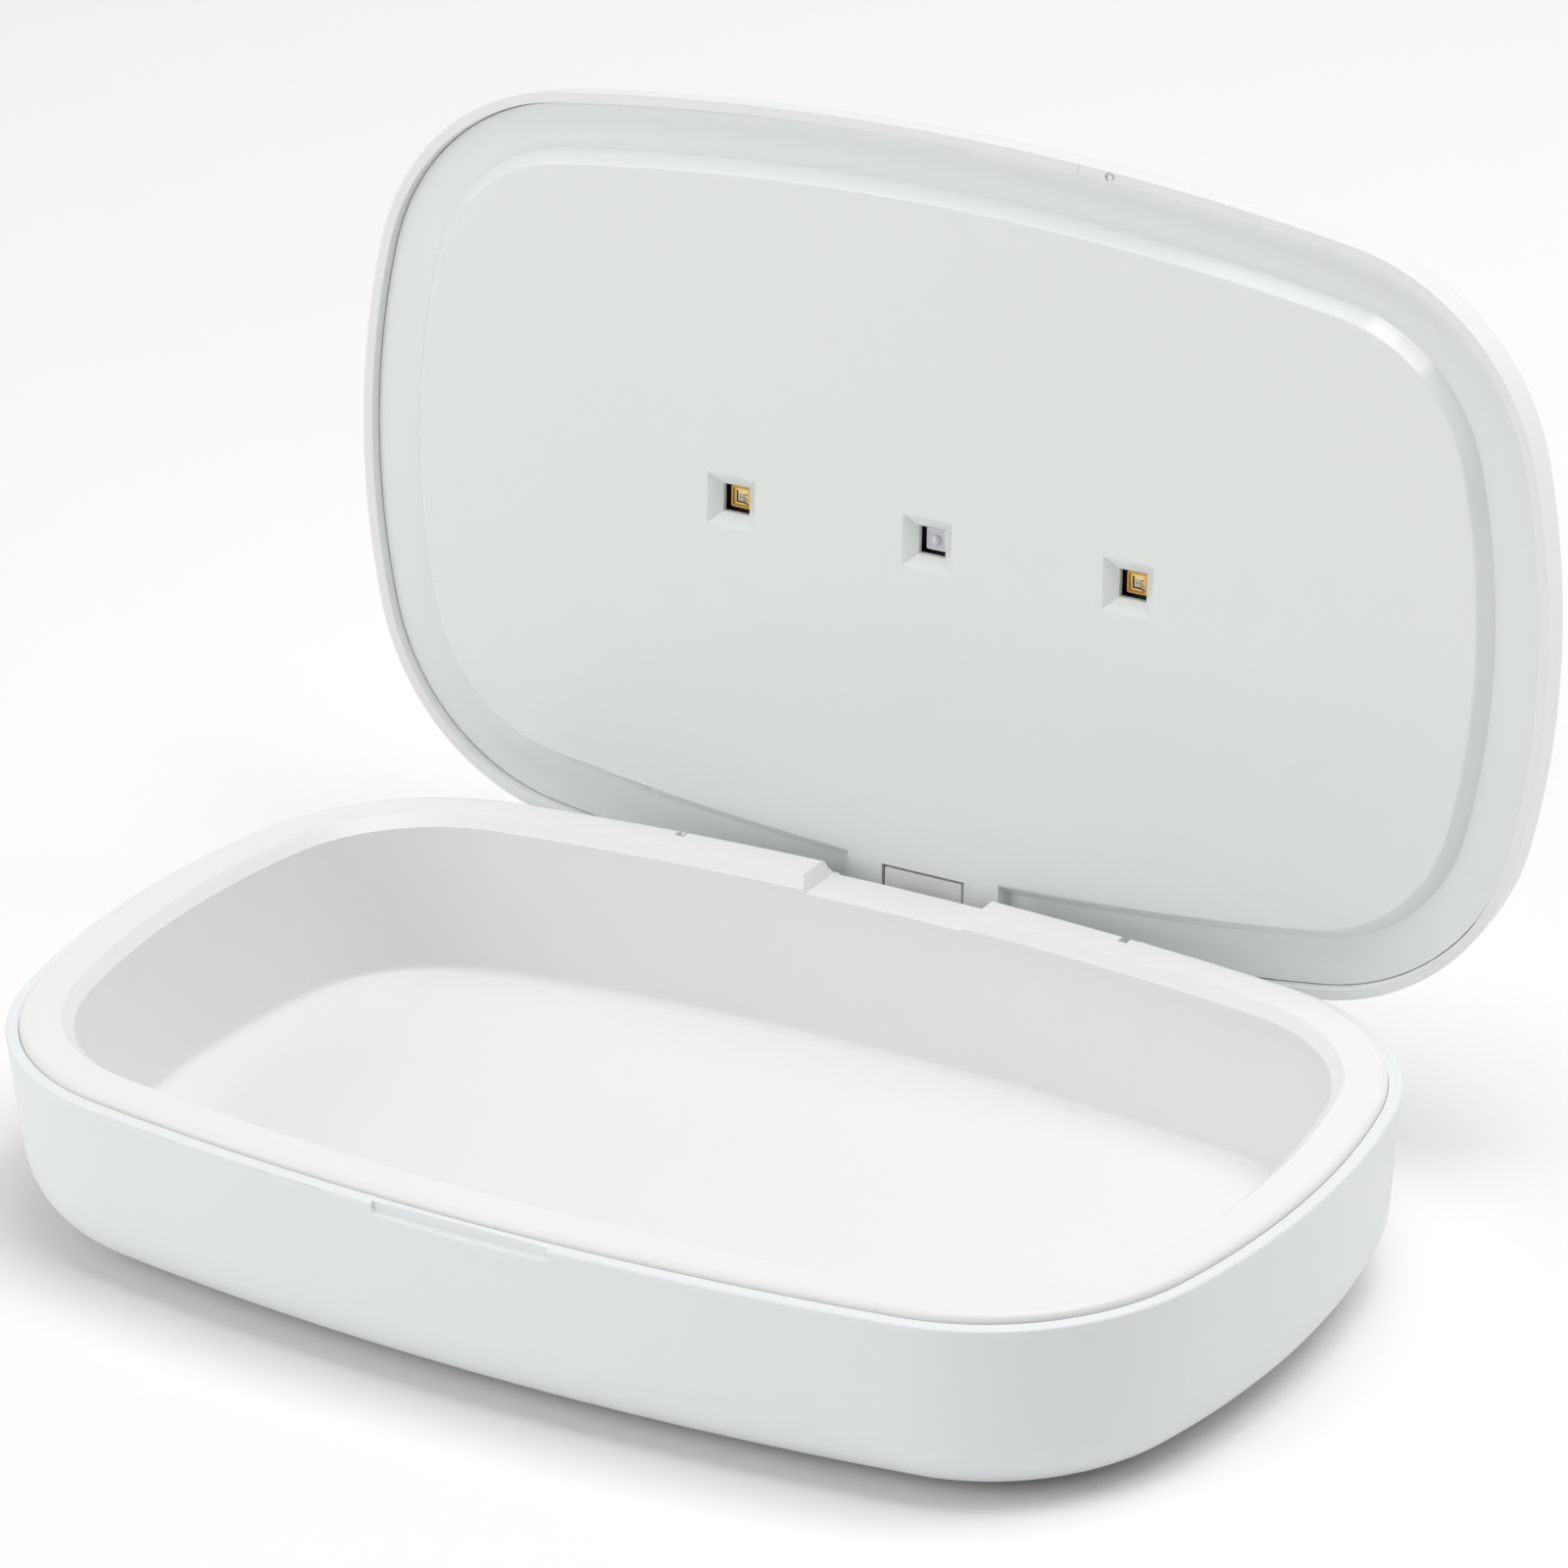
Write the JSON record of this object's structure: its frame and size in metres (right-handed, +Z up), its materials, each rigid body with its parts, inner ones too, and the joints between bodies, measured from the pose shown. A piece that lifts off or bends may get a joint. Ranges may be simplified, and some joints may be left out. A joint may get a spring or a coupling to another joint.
{
  "type": "ultraviolet phone sanitizer box",
  "caption": "Shallow rounded tub with a raised rim and a hinged lid that carries recessed ultraviolet lamps over a phone, with a start button on the lid.",
  "frame": {"origin": "middle, seen from above, of the whole box as it stands open, on the plane the feet stand on; the middle of the base is 10.92 mm in front of it", "axes": "+X along the length, to the right seen from the front; +Y from the front to the hinge side; +Z up"},
  "size_m": [0.208, 0.1502, 0.1496],
  "materials": {
    "base_outer_shell": "satin moulded ABS",
    "base_inner_tub": "satin moulded ABS",
    "rubber_feet": "soft light grey rubber",
    "base_screws": "zinc plated",
    "main_board": "green solder mask",
    "usb_socket": "nickel plated",
    "control_chips": "black epoxy",
    "wire_header": "off-white nylon",
    "lid_sensor": "black epoxy",
    "hinge_bracket": "pressed steel, plated",
    "bracket_screws": "zinc plated",
    "hinge_pin": "ground stainless steel tube",
    "hinge_spring": "spring steel",
    "base_wires": "PVC sleeve",
    "lid_outer_shell": "satin moulded ABS",
    "lid_inner_panel": "glossy moulded ABS",
    "lamp_board": "dark solder mask",
    "uvc_lamp_left": "gold plated ceramic package",
    "uva_lamp_centre": "white ceramic package",
    "uvc_lamp_right": "gold plated ceramic package",
    "lamp_board_screws": "zinc plated",
    "tact_switch": "black switch body",
    "ring_lamps": "small surface lamps",
    "light_ring": "milky polycarbonate",
    "lid_magnet": "nickel plated magnet",
    "hinge_arm": "glass-filled nylon, white",
    "hinge_bushes": "acetal",
    "arm_screws": "zinc plated",
    "hinge_cover": "satin moulded ABS",
    "lid_wires": "PVC sleeve",
    "lamp_board_header": "off-white nylon",
    "start_button": "polished moulded ABS",
    "switch_plunger": "silicone pad"
  },
  "bodies": {
    "base": {"base_outer_shell": "base_outer_shell", "base_inner_tub": "base_inner_tub", "rubber_feet": "rubber_feet", "base_screws": "base_screws", "main_board": "main_board", "usb_socket": "usb_socket", "control_chips": "control_chips", "wire_header": "wire_header", "lid_sensor": "lid_sensor", "hinge_bracket": "hinge_bracket", "bracket_screws": "bracket_screws", "hinge_pin": "hinge_pin", "hinge_spring": "hinge_spring", "base_wires": "base_wires"},
    "lid": {"lid_outer_shell": "lid_outer_shell", "lid_inner_panel": "lid_inner_panel", "lamp_board": "lamp_board", "uvc_lamp_left": "uvc_lamp_left", "uva_lamp_centre": "uva_lamp_centre", "uvc_lamp_right": "uvc_lamp_right", "lamp_board_screws": "lamp_board_screws", "tact_switch": "tact_switch", "ring_lamps": "ring_lamps", "light_ring": "light_ring", "lid_magnet": "lid_magnet", "hinge_arm": "hinge_arm", "hinge_bushes": "hinge_bushes", "arm_screws": "arm_screws", "hinge_cover": "hinge_cover", "lid_wires": "lid_wires", "lamp_board_header": "lamp_board_header"},
    "button": {"start_button": "start_button", "switch_plunger": "switch_plunger"}
  },
  "joints": [
    {"name": "lid_hinge", "type": "hinge", "parent": "base", "child": "lid", "pos_m": [0, 0.04944, 0.02576], "axis": [1, 0, 0], "range_deg": [0, 94.55], "stiffness_Nm_per_rad": 0.006, "deforming": ["hinge_spring"]},
    {"name": "button_press", "type": "slide", "parent": "lid", "child": "button", "axis": [0, -0.9968, 0.0793], "range_m": [0, 0.0004], "stiffness_N_per_m": 1500, "springref_m": -0.0006}
  ]
}
